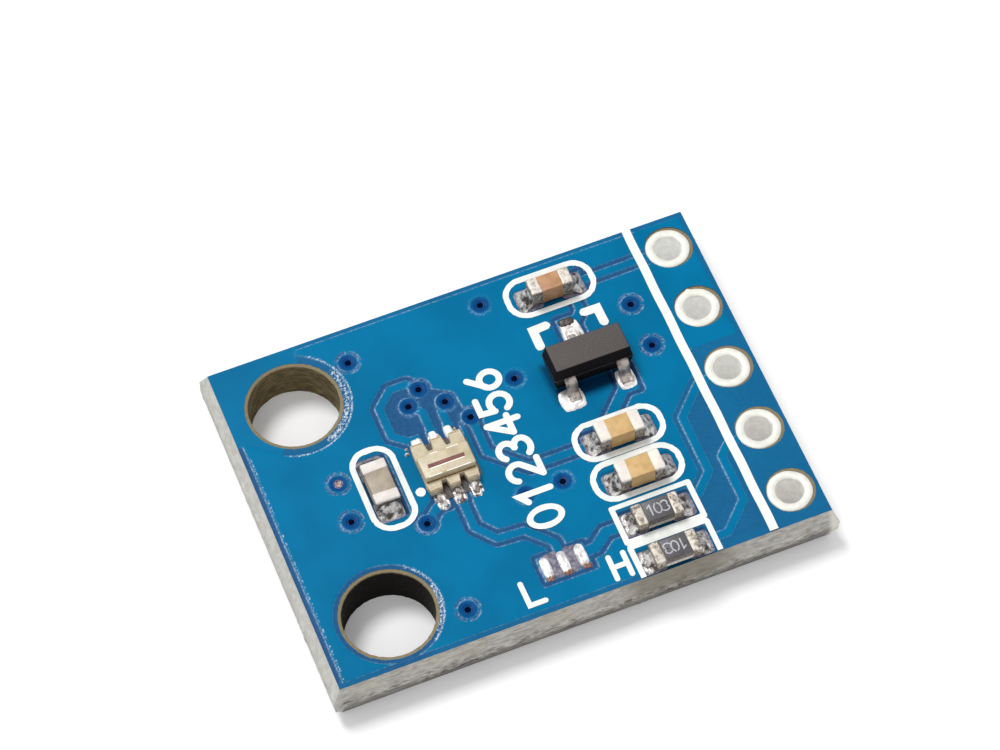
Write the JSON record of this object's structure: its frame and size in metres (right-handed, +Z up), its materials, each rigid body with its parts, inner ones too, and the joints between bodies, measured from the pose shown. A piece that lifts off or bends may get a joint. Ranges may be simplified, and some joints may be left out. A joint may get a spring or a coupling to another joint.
{
  "type": "light sensor module",
  "caption": "Small blue circuit board with a clear light sensor, a regulator, chip parts, a row of plated header holes and screw holes.",
  "frame": {"origin": "centre of the underside of the board", "axes": "+X towards the header holes, +Y across the board towards its far long edge, +Z up from the underside to the parts"},
  "size_m": [0.0174, 0.013, 0.0027],
  "materials": {
    "laminate": "woven glass and resin, snapped rough edges",
    "mask": "glossy blue solder mask",
    "copper": "bare copper, under the mask",
    "tin": "bright tin and solder",
    "ink": "white printed ink",
    "clear_resin": "clear moulding over a pale frame",
    "die": "red-brown stripe of silicon",
    "dark_resin": "dark moulded resin",
    "ceramic_brown": "fired ceramic",
    "ceramic_tan": "fired ceramic",
    "ceramic_grey": "fired ceramic",
    "alumina": "white ceramic",
    "glaze": "dark glaze"
  },
  "bodies": {
    "root": {"board_core": "laminate", "solder_mask_top": "mask", "solder_mask_bottom": "mask", "ground_copper": "copper", "trace_sensor_far_left": "copper", "trace_sensor_far_middle": "copper", "trace_sensor_far_right": "copper", "trace_supply": "copper", "trace_regulator_output": "copper", "trace_sensor_near_left": "copper", "trace_jumper_middle": "copper", "trace_jumper_right": "copper", "trace_clock": "copper", "trace_data": "copper", "trace_input": "copper", "jumper_pad_left": "copper", "header_sleeve_1": "tin", "header_sleeve_2": "tin", "header_sleeve_3": "tin", "header_sleeve_4": "tin", "header_sleeve_5": "tin", "outline_input": "ink", "outline_sensor": "ink", "outline_middle": "ink", "outline_resistors": "ink", "bracket_left": "ink", "bracket_right": "ink", "header_line": "ink", "sensor_body": "clear_resin", "sensor_die": "die", "sensor_lead_far_left": "tin", "sensor_lead_far_middle": "tin", "sensor_lead_far_right": "tin", "sensor_lead_near_left": "tin", "sensor_lead_near_middle": "tin", "sensor_lead_near_right": "tin", "regulator_body": "dark_resin", "regulator_lead_near_left": "tin", "regulator_lead_near_right": "tin", "regulator_lead_far": "tin", "capacitor_input_body": "ceramic_brown", "capacitor_input_cap_a": "tin", "capacitor_input_cap_b": "tin", "capacitor_supply_body": "ceramic_tan", "capacitor_supply_cap_a": "tin", "capacitor_supply_cap_b": "tin", "capacitor_output_body": "ceramic_tan", "capacitor_output_cap_a": "tin", "capacitor_output_cap_b": "tin", "capacitor_sensor_body": "ceramic_grey", "capacitor_sensor_cap_a": "tin", "capacitor_sensor_cap_b": "tin", "resistor_upper_body": "alumina", "resistor_upper_glaze": "glaze", "resistor_upper_cap_a": "tin", "resistor_upper_cap_b": "tin", "resistor_lower_body": "alumina", "resistor_lower_glaze": "glaze", "resistor_lower_cap_a": "tin", "resistor_lower_cap_b": "tin"}
  },
  "joints": []
}
